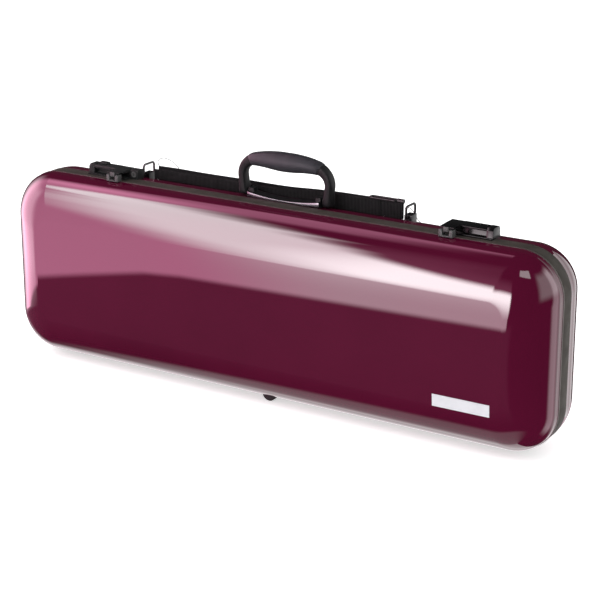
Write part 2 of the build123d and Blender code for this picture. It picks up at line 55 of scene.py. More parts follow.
# ---- Places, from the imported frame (millimetres) ---------------------------------------------
lid_low, lid_high = (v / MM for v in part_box("lid_shell"))
base_low, base_high = (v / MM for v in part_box("base_shell"))
LENGTH = lid_high.x - lid_low.x
HEIGHT = lid_high.z - lid_low.z
MID_Z = (lid_high.z + lid_low.z) / 2
TOP_Z = lid_high.z
SEAM_Y = lid_high.y
LID_DEPTH = lid_high.y - lid_low.y
BASE_EDGE = base_low.y
BASE_DEPTH = base_high.y - base_low.y
CORNER = 55.0


# ---- Small tools -----------------------------------------------------------------------------
def new_object(name, verts, faces, smooth=True):
    """A mesh object from millimetre points."""
    mesh = bpy.data.meshes.new(name)
    mesh.from_pydata([Vector(v) * MM for v in verts], [], faces)
    mesh.validate()
    bm = bmesh.new()
    bm.from_mesh(mesh)
    bmesh.ops.recalc_face_normals(bm, faces=bm.faces)
    bm.to_mesh(mesh)
    bm.free()
    for p in mesh.polygons:
        p.use_smooth = smooth
    obj = bpy.data.objects.new(name, mesh)
    bpy.context.collection.objects.link(obj)
    return obj


def dress(obj, material, body, replaces=()):
    """Gives a piece its material, its body and the nodes that it stands for."""
    obj.data.materials.clear()
    obj.data.materials.append(material)
    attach(obj, body)
    if replaces:
        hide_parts(*replaces)
    return obj


def apply_modifiers(obj):
    depsgraph = bpy.context.evaluated_depsgraph_get()
    mesh = bpy.data.meshes.new_from_object(obj.evaluated_get(depsgraph))
    obj.modifiers.clear()
    obj.data = mesh


def soften(node, width, segments=3, angle=32, name=None):
    """A copy of a CAD node with its sharp edges rounded."""
    source = frame["nodes"][node]
    mesh = source.data.copy()
    obj = bpy.data.objects.new(name or node + "_v", mesh)
    bpy.context.collection.objects.link(obj)
    bm = bmesh.new()
    bm.from_mesh(mesh)
    bmesh.ops.remove_doubles(bm, verts=bm.verts, dist=1e-6)
    bmesh.ops.dissolve_limit(bm, angle_limit=math.radians(1.0), verts=bm.verts, edges=bm.edges)
    bm.to_mesh(mesh)
    bm.free()
    bevel = obj.modifiers.new("round", "BEVEL")
    bevel.width = width * MM
    bevel.segments = segments
    bevel.limit_method = "ANGLE"
    bevel.angle_limit = math.radians(angle)
    bevel.use_clamp_overlap = True
    bevel.harden_normals = False
    apply_modifiers(obj)
    smooth_by_angle(obj, 40)
    return obj


def smooth_by_angle(obj, degrees):
    """Smooth shading with sharp edges kept where faces meet at a wide angle."""
    mesh = obj.data
    for p in mesh.polygons:
        p.use_smooth = True
    bm = bmesh.new()
    bm.from_mesh(mesh)
    for e in bm.edges:
        wide = len(e.link_faces) == 2 and e.calc_face_angle(0) > math.radians(degrees)
        e.smooth = not wide
    bm.to_mesh(mesh)
    bm.free()


def outline(inset, radius, growth=0.0, corner_steps=22, long_steps=74, short_steps=22):
    """Rounded rectangle points, anticlockwise, each with how fast the inset grows in X and in Z.

    growth is the change of the corner radius for each millimetre of inset."""
    hx, hz = LENGTH / 2 - inset, HEIGHT / 2 - inset
    r = min(radius, hx - 0.1, hz - 0.1)
    points = []

    def arc(side_x, side_z, start):
        for k in range(corner_steps):
            a = math.radians(start + 90 * k / corner_steps)
            c, s = math.cos(a), math.sin(a)
            rate = 1 / ((1 + growth) * (abs(c) + abs(s)) - growth)
            points.append((side_x * (hx - r) + r * c, side_z * (hz - r) + r * s, -c * rate, -s * rate))

    def line(a, b, n, slope):
        for k in range(n):
            w = k / n
            points.append((a[0] + (b[0] - a[0]) * w, a[1] + (b[1] - a[1]) * w, *slope))

    arc(1, 1, 0)
    line((hx - r, hz), (-hx + r, hz), long_steps, (0, -1))
    arc(-1, 1, 90)
    line((-hx, hz - r), (-hx, -hz + r), short_steps, (1, 0))
    arc(-1, -1, 180)
    line((-hx + r, -hz), (hx - r, -hz), long_steps, (0, 1))
    arc(1, -1, 270)
    line((hx, -hz + r), (hx, hz - r), short_steps, (-1, 0))
    return points


def bridge_rings(rings, closed=False):
    """Quads between equal rings of points; closed joins the last ring to the first."""
    n = len(rings[0])
    verts = [p for ring in rings for p in ring]
    faces = []
    pairs = range(len(rings) if closed else len(rings) - 1)
    for i in pairs:
        j = (i + 1) % len(rings)
        for k in range(n):
            m = (k + 1) % n
            faces.append((i * n + k, i * n + m, j * n + m, j * n + k))
    return verts, faces


# ---- Shell surfaces --------------------------------------------------------------------------
EDGE_WIDTH, EDGE_POWER, EDGE_SHARE, DRAFT = 54.0, 1.66, 0.88, 4.8
CROWN_RADIUS = 860.0  # the faces are slightly crowned between their long edges
CROWN_ENDS = 1.0


def skin(edge_y, depth, outward, inset, steps=44, inner_steps=30):
    """Rings of one shell surface with their normals, from the open edge to the middle of the face."""
    straight = depth * (1 - EDGE_SHARE)
    rounded = depth - straight
    slope = straight * math.tan(math.radians(DRAFT))
    width = EDGE_WIDTH - inset / 2
    profile = [(0.0, 0.0, slope, straight), (0.5 * slope, 0.5 * straight, slope, straight)]
    power = 2 / EDGE_POWER
    for k in range(steps + 1):
        a = math.pi / 2 * k / steps
        c, s = math.cos(a), math.sin(a)
        across, deep = width * (1 - c**power), rounded * s**power
        turn = (0.0, 1.0) if k == 0 else (width * c ** (power - 1) * s, rounded * s ** (power - 1) * c)
        if k == steps:
            turn = (1.0, 0.0)
        profile.append((slope + across, straight + deep, *turn))
    flat = profile[-1][0]
    last = HEIGHT / 2 - inset - 0.6
    for k in range(1, inner_steps + 1):
        profile.append((flat + (last - flat) * k / inner_steps, depth, 1.0, 0.0))
    rings, normals = [], []
    for across, deep, run, rise in profile:
        share = min(max((across - 12) / (flat - 12), 0), 1)
        growth_of_share = 6 * share * (1 - share) / (flat - 12)
        share = share * share * (3 - 2 * share)
        radius = CORNER - inset - 0.65 * across
        shrinking = -0.65 if radius > 18 else 0.0
        ring, ring_normals = [], []
        for x, z, in_x, in_z in outline(inset + across, max(radius, 18), shrinking):
            crown = z * z / (2 * CROWN_RADIUS) + CROWN_ENDS * (x / 337) ** 2
            ring.append((x, edge_y + outward * (deep - share * crown), MID_Z + z))
            steep = rise - growth_of_share * crown * run
            normal = Vector((
                share * run * 2 * CROWN_ENDS * x / 337**2 - steep * in_x,
                outward * run,
                share * run * z / CROWN_RADIUS - steep * in_z,
            ))
            ring_normals.append(normal.normalized())
        rings.append(ring)
        normals.append(ring_normals)
    return rings, normals


def cap(faces, start, n, short_steps=22):
    """Quads across the last ring, from the point in the middle of one short side to the other."""
    first = n - short_steps // 2
    ring = [start + (first + k) % n for k in range(n)]
    low, high = 0, n - 1
    while high - low > 2:
        faces.append((ring[low], ring[low + 1], ring[high - 1], ring[high]))
        low, high = low + 1, high - 1
    if high - low == 2:
        faces.append((ring[low], ring[low + 1], ring[high]))


def closed_shell(name, edge_y, depth, outward, wall, inset=0.0):
    """A moulded shell: outer skin, flat lip and inner skin, with exact normals for its reflections."""
    outer, outer_normals = skin(edge_y, depth, outward, inset)
    inner, inner_normals = skin(edge_y, depth - wall, outward, inset + wall)
    rings = list(reversed(outer)) + inner
    verts, faces = bridge_rings(rings)
    n = len(outer[0])
    cap(faces, 0, n)
    cap(faces, (len(rings) - 1) * n, n)
    obj = new_object(name, verts, faces)
    normals = [v for ring in reversed(outer_normals) for v in ring]
    normals += [-v for ring in inner_normals for v in ring]
    obj.data.normals_split_custom_set_from_vertices(normals)
    return obj


# ---- Materials -------------------------------------------------------------------------------
def srgb(r, g, b):
    """Linear colour from 0-255 display values."""
    out = []
    for c in (r, g, b):
        c /= 255
        out.append(c / 12.92 if c <= 0.04045 else ((c + 0.055) / 1.055) ** 2.4)
    return (*out, 1.0)


class Mat:
    """A material with one Principled shader, and short calls to add nodes to it."""

    def __init__(self, name, color, rough, **sockets):
        self.m = bpy.data.materials.new(name)
        self.m.use_nodes = True
        self.nt = self.m.node_tree
        self.b = self.nt.nodes["Principled BSDF"]
        self.b.inputs["Base Color"].default_value = color
        self.b.inputs["Roughness"].default_value = rough
        for key, value in sockets.items():
            self.b.inputs[key.replace("_", " ")].default_value = value

    def node(self, kind, **props):
        n = self.nt.nodes.new(kind)
        for key, value in props.items():
            if key in n.inputs:
                n.inputs[key].default_value = value
            else:
                setattr(n, key, value)
        return n

    def link(self, a, b):
        self.nt.links.new(a, b)

    def coords(self):
        return self.node("ShaderNodeTexCoord").outputs["Object"]

    def noise(self, scale, detail=3.0, rough=0.5):
        n = self.node("ShaderNodeTexNoise")
        n.inputs["Scale"].default_value = scale
        n.inputs["Detail"].default_value = detail
        n.inputs["Roughness"].default_value = rough
        self.link(self.coords(), n.inputs["Vector"])
        return n.outputs["Fac"]

    def ramp(self, fac, stops):
        r = self.node("ShaderNodeValToRGB")
        while len(r.color_ramp.elements) < len(stops):
            r.color_ramp.elements.new(0.5)
        for e, (pos, col) in zip(r.color_ramp.elements, stops):
            e.position = pos
            e.color = col
        self.link(fac, r.inputs["Fac"])
        return r.outputs["Color"]

    def color_from(self, fac, stops):
        self.link(self.ramp(fac, stops), self.b.inputs["Base Color"])

    def rough_from(self, fac, low, high):
        m = self.node("ShaderNodeMapRange")
        m.inputs["From Min"].default_value = 0.3
        m.inputs["From Max"].default_value = 0.7
        m.inputs["To Min"].default_value = low
        m.inputs["To Max"].default_value = high
        self.link(fac, m.inputs["Value"])
        self.link(m.outputs["Result"], self.b.inputs["Roughness"])

    def bump(self, height, distance, strength=1.0):
        b = self.node("ShaderNodeBump")
        b.inputs["Distance"].default_value = distance
        b.inputs["Strength"].default_value = strength
        self.link(height, b.inputs["Height"])
        self.link(b.outputs["Normal"], self.b.inputs["Normal"])


def plain(name, color, rough, grain=None, depth=0.00005, vary=0.15, **sockets):
    """A moulded or coated surface with fine grain and slight variation of tone."""
    mat = Mat(name, color, rough, **sockets)
    dark = tuple(c * (1 - vary) for c in color[:3]) + (1.0,)
    light = tuple(min(c * (1 + vary), 1) for c in color[:3]) + (1.0,)
    mat.color_from(mat.noise(60, 4), [(0.35, dark), (0.65, light)])
    mat.rough_from(mat.noise(90, 3), rough * 0.85, min(rough * 1.15, 1))
    if grain:
        mat.bump(mat.noise(grain, 2), depth, 0.5)
    return mat.m


def shell_material():
    mat = Mat("shell_gloss", srgb(88, 16, 40), 0.34, Coat_Weight=1.0, Coat_Roughness=0.015, Coat_IOR=1.5)
    mat.b.inputs["Specular IOR Level"].default_value = 0.0
    mat.color_from(mat.noise(7, 2), [(0.3, srgb(68, 8, 33)), (0.7, srgb(73, 10, 36))])
    return mat.m


SHELL = shell_material()
BAND = plain("band_matt", srgb(54, 51, 47), 0.6, grain=2500, depth=0.00004, Specular_IOR_Level=0.08)
RIM = plain("rim_edge", srgb(66, 58, 56), 0.5, grain=2500, depth=0.00003, Specular_IOR_Level=0.2)
SEAL = plain("seal_rubber", srgb(12, 11, 12), 0.6, Specular_IOR_Level=0.1)
LATCH_BLACK = plain("latch_black", srgb(12, 12, 13), 0.2, Specular_IOR_Level=0.16)
LATCH_GREY = plain("latch_grey", srgb(36, 37, 37), 0.5, grain=1800, depth=0.00006, Specular_IOR_Level=0.05)
KEEPER = plain("keeper_steel", srgb(72, 72, 72), 0.45, Specular_IOR_Level=0.15)
STEEL = plain("pin_steel", srgb(66, 65, 66), 0.35, Metallic=0.9)
HANDLE = plain("handle_soft", srgb(44, 44, 48), 0.48, grain=1500, depth=0.00007, Specular_IOR_Level=0.12)
BLACK = plain("handle_plastic", srgb(26, 26, 27), 0.45, grain=1500, depth=0.00004, Specular_IOR_Level=0.07)
CHROME = plain("trim_chrome", srgb(78, 77, 80), 0.22, vary=0.05, Metallic=1.0)
FOOT = plain("foot_plastic", srgb(20, 19, 20), 0.5, grain=1200, depth=0.00005, Specular_IOR_Level=0.15)
RUBBER = plain("foot_rubber", srgb(14, 13, 14), 0.7, grain=1500, depth=0.00006, Specular_IOR_Level=0.1)
BADGE = plain("badge_silver", srgb(198, 198, 203), 0.5, vary=0.04, Specular_IOR_Level=0.15)
BLACK_STEEL = plain("black_steel", srgb(16, 16, 17), 0.35, Specular_IOR_Level=0.2)
BRASS = plain("brass_case", srgb(205, 165, 88), 0.22, Metallic=1.0)
DIAL = plain("dial_white", srgb(232, 226, 210), 0.5, vary=0.03)
FITTING = plain("fitting_black", srgb(20, 19, 20), 0.35)
THREAD = plain("thread_grey", srgb(46, 46, 48), 0.5, vary=0.05, Specular_IOR_Level=0.1)
glass = Mat("clear_glass", (1, 1, 1, 1), 0.02, Transmission_Weight=1.0, IOR=1.45)
glass.rough_from(glass.noise(150), 0.01, 0.04)
GLASS = glass.m


def plush(name, dark, light):
    mat = Mat(name, light, 0.9, Sheen_Weight=0.35, Sheen_Roughness=0.4)
    mat.color_from(mat.noise(900, 4, 0.7), [(0.35, dark), (0.7, light)])
    mat.bump(mat.noise(2600, 3, 0.7), 0.0004, 0.6)
    return mat.m


LINING = plush("lining_plush", srgb(58, 18, 30), srgb(92, 32, 48))
INSERT = plush("insert_plush", srgb(96, 90, 88), srgb(140, 132, 128))


def webbing_material():
    """Ribbed webbing: ribs run across the strap, a few threads to each."""
    mat = Mat("webbing_black", srgb(24, 23, 24), 0.8, Specular_IOR_Level=0.04)
    coords = mat.coords()
    ribs = mat.node("ShaderNodeTexWave", wave_type="BANDS", bands_direction="X", wave_profile="SIN")
    ribs.inputs["Scale"].default_value = 155.0
    ribs.inputs["Distortion"].default_value = 0.4
    ribs.inputs["Detail"].default_value = 1.0
    mat.link(coords, ribs.inputs["Vector"])
    threads = mat.node("ShaderNodeTexWave", wave_type="BANDS", bands_direction="Z", wave_profile="SIN")
    threads.inputs["Scale"].default_value = 420.0
    mat.link(coords, threads.inputs["Vector"])
    mix = mat.node("ShaderNodeMath", operation="MULTIPLY_ADD")
    mix.inputs[1].default_value = 0.35
    mat.link(threads.outputs["Fac"], mix.inputs[0])
    mat.link(ribs.outputs["Fac"], mix.inputs[2])
    mat.color_from(mix.outputs[0], [(0.2, srgb(8, 8, 9)), (1.0, srgb(46, 45, 46))])
    mat.bump(mix.outputs[0], 0.0005, 0.9)
    return mat.m


WEBBING = webbing_material()
MATERIALS = {
    "shell_gloss": SHELL, "band_matt": BAND, "rim_edge": RIM, "seal_rubber": SEAL,
    "lining_plush": LINING, "insert_plush": INSERT, "webbing_black": WEBBING,
    "latch_black": LATCH_BLACK, "latch_grey": LATCH_GREY, "keeper_steel": KEEPER,
    "pin_steel": STEEL, "handle_soft": HANDLE, "handle_plastic": BLACK, "trim_chrome": CHROME,
    "foot_plastic": FOOT, "foot_rubber": RUBBER, "badge_silver": BADGE, "black_steel": BLACK_STEEL,
    "brass_case": BRASS, "dial_white": DIAL, "clear_glass": GLASS, "fitting_black": FITTING,
    "thread_grey": THREAD,
}
for node, obj in frame["nodes"].items():
    obj.data.materials.clear()
    obj.data.materials.append(MATERIALS[SLOT_OF[node]])


def softened(node, width, **kwargs):
    """Rounds a CAD node's edges and shows the rounded piece in its place."""
    obj = soften(node, width, **kwargs)
    return dress(obj, MATERIALS[SLOT_OF[node]], BODY_OF[node], [node])


# ---- Shells ----------------------------------------------------------------------------------
lid = closed_shell("lid_skin", SEAM_Y, LID_DEPTH, -1, 3.0)
dress(lid, SHELL, "lid", ["lid_shell"])
base = closed_shell("base_skin", BASE_EDGE, BASE_DEPTH, 1, 3.0)
dress(base, SHELL, "base", ["base_shell"])

lid_soft = closed_shell("lid_lining_cloth", SEAM_Y, LID_DEPTH - 3, -1, 1.8, inset=3.1)
dress(lid_soft, LINING, "lid", ["lid_lining"])
base_soft = closed_shell("base_lining_cloth", BASE_EDGE, BASE_DEPTH - 3, 1, 1.8, inset=3.1)
dress(base_soft, LINING, "base", ["base_lining"])


def on_face(x, z, lift):
    """A point on the crowned face of the lid, lifted off it."""
    crown = (z - MID_Z) ** 2 / (2 * CROWN_RADIUS) + CROWN_ENDS * (x / 337) ** 2
    return (x, SEAM_Y - LID_DEPTH + crown - lift, z)


# ---- Name plate: thin metal that follows the face, with a raised border and a blank field -------
def name_plate():
    low, high = (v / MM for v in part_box("name_plate"))
    rows, cols, border = 14, 40, 1.6
    verts, faces = [], []
    for k in range(rows + 1):
        for m in range(cols + 1):
            x = low.x + (high.x - low.x) * m / cols
            z = low.z + (high.z - low.z) * k / rows
            edge = min(x - low.x, high.x - x, z - low.z, high.z - z)
            lift = 0.5 if edge < 0.01 else (1.15 if edge < border else 0.9)
            verts.append(on_face(x, z, lift))
    for k in range(rows):
        for m in range(cols):
            q = k * (cols + 1) + m
            faces.append((q, q + 1, q + cols + 2, q + cols + 1))
    count = len(verts)
    verts += [on_face(v[0], v[2], -0.4) for v in verts]
    faces += [tuple(reversed([q + count for q in f])) for f in faces]
    loop = list(range(cols + 1)) + [k * (cols + 1) + cols for k in range(1, rows + 1)]
    loop += [rows * (cols + 1) + m for m in range(cols - 1, -1, -1)]
    loop += [k * (cols + 1) for k in range(rows - 1, 0, -1)]
    for p, q in zip(loop, loop[1:] + loop[:1]):
        faces.append((p, q, q + count, p + count))
    obj = new_object("name_plate_v", verts, faces)
    smooth_by_angle(obj, 30)
    return obj


dress(name_plate(), BADGE, "lid", ["name_plate"])


# ---- Tubes with changing section -------------------------------------------------------------
def swept(name, stations, plane_normal=Vector((0, 1, 0)), sides=28, steps=10):
    """A body along stations (point, half across, half deep, roundness), smoothed between them."""
    fine = []
    for k in range(len(stations) - 1):
        p0, p1, p2, p3 = (stations[min(max(k + d, 0), len(stations) - 1)] for d in (-1, 0, 1, 2))
        for m in range(steps):
            t = m / steps

            def mixed(a, b, c, d):
                return b + 0.5 * t * (c - a + t * (2 * a - 5 * b + 4 * c - d + t * (3 * (b - c) + d - a)))

            place = Vector([mixed(*(Vector(q[0])[i] for q in (p0, p1, p2, p3))) for i in range(3)])
            fine.append((place, *(mixed(*(q[i] for q in (p0, p1, p2, p3))) for i in (1, 2, 3))))
    fine.append((Vector(stations[-1][0]), *stations[-1][1:]))
    verts, faces = [], []
    for k, (place, across, deep, power) in enumerate(fine):
        ahead = fine[min(k + 1, len(fine) - 1)][0] - fine[max(k - 1, 0)][0]
        side = ahead.normalized().cross(plane_normal)
        for m in range(sides):
            a = 2 * math.pi * m / sides
            c, s = math.cos(a), math.sin(a)
            u = math.copysign(abs(c) ** (2 / power), c) * across
            v = math.copysign(abs(s) ** (2 / power), s) * deep
            verts.append(place + side * u + plane_normal * v)
    for k in range(len(fine) - 1):
        for m in range(sides):
            n = (m + 1) % sides
            faces.append((k * sides + m, k * sides + n, (k + 1) * sides + n, (k + 1) * sides + m))
    faces.append(tuple(range(sides)))
    faces.append(tuple((len(fine) - 1) * sides + m for m in range(sides)))
    obj = new_object(name, verts, faces)
    smooth_by_angle(obj, 50)
    return obj


# ---- Handle: two flat curved legs and a fat grip that swells towards its middle -------------------
HANDLE_Y = sum(v.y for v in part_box("handle_pins")) / 2 / MM


def up_handle(x, z, across, deep, power):
    return ((x, HANDLE_Y, TOP_Z + z), across, deep, power)


for name, side in (("left", -1), ("right", 1)):
    leg = [
        up_handle(side * 61.5, 1.9, 4.6, 4.0, 3),
        up_handle(side * 61.5, 3.6, 6.4, 6.2, 3.4),
        up_handle(side * 62.0, 8.5, 6.2, 7.0, 4),
        up_handle(side * 63.2, 21, 5.3, 7.0, 4),
        up_handle(side * 63.8, 31, 5.4, 7.0, 3.6),
        up_handle(side * 60.6, 39.5, 6.0, 7.0, 3.2),
        up_handle(side * 54.0, 45.8, 6.9, 7.0, 3),
        up_handle(side * 46.5, 49.0, 7.4, 7.0, 3),
        up_handle(side * 44.0, 49.6, 7.2, 6.8, 3),
    ]
    node = f"handle_leg_{name}"
    dress(swept(f"{node}_v", leg), BLACK, "handle", [node])

# Half of the grip, from its left end to just before its middle: X, height, half sizes, roundness.
GRIP_HALF = (
    (-50.5, 47.9, 7.0, 7.2, 2.6),
    (-49, 48.4, 8.1, 8.4, 2.6),
    (-42, 49.6, 8.9, 9.8, 2.5),
    (-28, 50.6, 10.4, 11.6, 2.4),
    (-12, 50.6, 11.9, 12.8, 2.3),
)
grip = [up_handle(*row) for row in GRIP_HALF]
grip.append(up_handle(0, 50.4, 12.2, 13.0, 2.3))
grip += [up_handle(-row[0], *row[1:]) for row in reversed(GRIP_HALF)]
dress(swept("handle_grip_v", grip), HANDLE, "handle", ["handle_grip"])


# ---- Strap: webbing on edge behind the handle, folded back at its right end -----------------------
def case_drop(deep):
    """How far the case's upper side has fallen below its highest line, at a depth behind the seam."""
    inside = SEAM_Y + deep - BASE_EDGE
    straight = BASE_DEPTH * (1 - EDGE_SHARE)
    s = max((inside - straight) / (BASE_DEPTH - straight), 0) ** (EDGE_POWER / 2)
    across = EDGE_WIDTH * (1 - (1 - s * s) ** (1 / EDGE_POWER))
    return straight * math.tan(math.radians(DRAFT)) + across


def ribbon(name, points, thick, height_at):
    """Webbing on edge along points (X, depth behind the seam): its foot follows the case."""
    sides = 16
    verts, faces = [], []
    for k, (x, deep) in enumerate(points):
        before, after = points[max(k - 1, 0)], points[min(k + 1, len(points) - 1)]
        run = Vector((after[0] - before[0], after[1] - before[1], 0)).normalized()
        across = Vector((-run.y, run.x, 0))
        foot, top = -case_drop(deep) + 0.15, height_at(x)
        for m in range(sides):
            a = 2 * math.pi * m / sides
            c, s = math.cos(a), math.sin(a)
            u = math.copysign(abs(c) ** 0.5, c) * thick / 2
            v = (foot + top) / 2 + math.copysign(abs(s) ** 0.18, s) * (top - foot) / 2
            verts.append(Vector((x, SEAM_Y + deep, TOP_Z + v)) + across * u)
    for k in range(len(points) - 1):
        for m in range(sides):
            n = (m + 1) % sides
            faces.append((k * sides + m, k * sides + n, (k + 1) * sides + n, (k + 1) * sides + m))
    faces.append(tuple(range(sides)))
    faces.append(tuple((len(points) - 1) * sides + m for m in range(sides)))
    obj = new_object(name, verts, faces)
    smooth_by_angle(obj, 50)
    return obj


def wavy(start, end, deep, step=4.0, swing=0.25, phase=0.0):
    """A run of the webbing along X that sways slightly in depth."""
    count = max(int(abs(end - start) / step), 2)
    out = []
    for k in range(count + 1):
        x = start + (end - start) * k / count
        sway = math.sin(x / 21 + phase) + 0.5 * math.sin(x / 8.3 + 2 * phase)
        out.append((x, deep + swing * sway))
    return out


def fold(x, near, far, turn=1):
    """Half a turn at one end of the bundle, from the near run to the far one."""
    r = (far - near) / 2
    angles = [math.pi * k / 8 for k in range(1, 8)]
    return [(x + turn * r * math.sin(a), near + r - r * math.cos(a)) for a in angles]


def rising(base, lift, start, end):
    """A height that rises smoothly by lift between two places along X."""
    def at(x):
        w = min(max((x - start) / (end - start), 0), 1)
        return base + lift * w * w * (3 - 2 * w) + 0.25 * math.sin(x / 17)
    return at


front_run = wavy(-214, 155, 47.2) + fold(155, 47.2, 52.0) + wavy(155, -205, 52.0, phase=1.3)
strap = [
    ribbon("strap_turns", front_run, 2.1, rising(10.2, 6.6, -40, 70)),
    ribbon("strap_core", wavy(-60, 149, 49.5, swing=0.12, phase=0.6), 1.9, rising(9.6, 6.2, -40, 70)),
    ribbon("strap_rear", wavy(-212, 120, 54.6, phase=2.1), 2.0, rising(13.2, 3.8, -20, 80)),
    ribbon("strap_tail", wavy(98, 128, 45.9, swing=0.05), 0.9, rising(16.8, 0.3, 98, 128)),
]
for piece, width, length in zip(strap, (0.020, 0.0185, 0.0215, 0.0195), (0.742, 0.209, 0.332, 0.030)):
    dress(piece, WEBBING, "base")
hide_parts("carry_strap")


def thread(name, node, route):
    """A thin nylon thread along its route (X, depth behind the seam, height above the case)."""
    curve = bpy.data.curves.new(name, "CURVE")
    curve.dimensions = "3D"
    curve.bevel_depth = 0.0004
    curve.bevel_resolution = 3
    curve.resolution_u = 10
    spline = curve.splines.new("NURBS")
    spline.points.add(len(route) - 1)
    for point, (x, deep, high) in zip(spline.points, route):
        point.co = (x * MM, (SEAM_Y + deep) * MM, (TOP_Z + high) * MM, 1)
    spline.order_u = 3
    spline.use_endpoint_u = True
    obj = bpy.data.objects.new(name, curve)
    bpy.context.collection.objects.link(obj)
    dress(obj, THREAD, "base", [node])
    return obj


LEFT_ROUTE = [
    (-215, 57.2, 8), (-216, 61.5, 9.5), (-220.5, 62.5, 15), (-217, 62, 20.5), (-208, 62.5, 22.6),
    (-198, 62, 20.6), (-189.5, 62.4, 15.4), (-182.5, 61.8, 8.5), (-179, 61.2, 3.5), (-178, 57.2, 2),
]
RIGHT_ROUTE = [
    (156, 57.2, 8), (157, 61.5, 8.8), (160, 66, 6), (164, 68.4, 0), (167.5, 68, -6),
    (171.5, 68.6, -10.5), (176.5, 69.4, -13.2),
]
thread("thread_left", "tag_thread_left", LEFT_ROUTE)
thread("thread_right", "tag_thread_right", RIGHT_ROUTE)


# ---- Foam insert: a plush-covered tray with rounded pocket edges ----------------------------------
INSERT_TOP, POCKET_FLOOR = 14.0, 54.0


def pocket_depth(x, z):
    """Signed distance (mm) into the nearest pocket: positive inside, about zero at its edge."""
    def ellipse(cx, a, b):
        q = math.hypot((x - cx) / a, z / b)
        return (1 - q) * min(a, b)

    def block(x0, x1, z0, z1):
        return min(x - x0, x1 - x, z - z0, z1 - z)

    bouts = max(ellipse(265, 98, 105), ellipse(102, 86, 88))
    body = max(bouts, block(108, 258, -66, 66), block(-236, 40, -24, 24))
    boxes = max(block(-228, -12, 36, 100), block(-228, -12, -100, -36), block(-368, -252, -92, 92))
    return max(body, boxes)


def insert_tray():
    low, high = (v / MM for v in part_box("suspension_insert"))
    cols, rows = 330, 108
    half_x, half_z, corner = (high.x - low.x) / 2, (high.z - low.z) / 2, 50.0
    verts, faces, outside = [], [], []
    for k in range(rows + 1):
        for m in range(cols + 1):
            x = -half_x + 2 * half_x * m / cols
            z = -half_z + 2 * half_z * k / rows
            over_x, over_z = abs(x) - (half_x - corner), abs(z) - (half_z - corner)
            gap = math.hypot(over_x, over_z) if over_x > 0 and over_z > 0 else 0
            outside.append(gap > corner + 2.5)
            if gap > corner:
                x = math.copysign(half_x - corner + over_x * corner / gap, x)
                z = math.copysign(half_z - corner + over_z * corner / gap, z)
            inside = pocket_depth(x, z)
            w = min(max((inside + 2.2) / 4.0, 0), 1)
            deep = INSERT_TOP + 0.4 + (POCKET_FLOOR - INSERT_TOP - 0.8) * w * w * (3 - 2 * w)
            verts.append((x, SEAM_Y + deep, MID_Z + z))
    for k in range(rows):
        for m in range(cols):
            q = k * (cols + 1) + m
            quad = (q, q + 1, q + cols + 2, q + cols + 1)
            if not all(outside[v] for v in quad):
                faces.append(quad)
    obj = new_object("insert_cloth", verts, faces)
    solid = obj.modifiers.new("thick", "SOLIDIFY")
    solid.thickness = 0.002
    solid.offset = 0
    apply_modifiers(obj)
    for p in obj.data.polygons:
        p.use_smooth = True
    return obj


tray = insert_tray()
dress(tray, INSERT, "base", ["suspension_insert"])


for node, width in (
    ("lid_rim", 0.5), ("frame_band", 0.5), ("rim_seal", 0.25),
    ("centre_foot", 0.6), ("front_foot_left", 0.6), ("front_foot_right", 0.6), ("rear_feet", 1.0),
    ("latch_left_base", 0.4), ("latch_right_base", 0.4), ("latch_left_lever", 0.5),
    ("latch_right_lever", 0.5), ("latch_left_keeper", 0.4), ("latch_right_keeper", 0.4),
    ("latch_left_hook", 0.3), ("latch_right_hook", 0.3), ("lock_housing", 0.5),
    ("lock_slider", 0.4), ("handle_base", 0.6), ("handle_trim_front", 0.3), ("handle_trim_rear", 0.3),
    ("strap_anchor_left", 0.6), ("strap_anchor_right", 0.6),
    ("neck_cradle", 1.5), ("neck_strap", 0.5), ("box_lid", 0.8), ("box_lid_tab", 0.4),
    ("bow_tip_holder_upper", 0.8), ("bow_tip_holder_lower", 0.8),
    ("bow_spinner_upper", 0.8), ("bow_spinner_lower", 0.8),
    ("bow_post_upper", 0.4), ("bow_post_lower", 0.4), ("hygrometer_case", 0.3),
):
    softened(node, width)


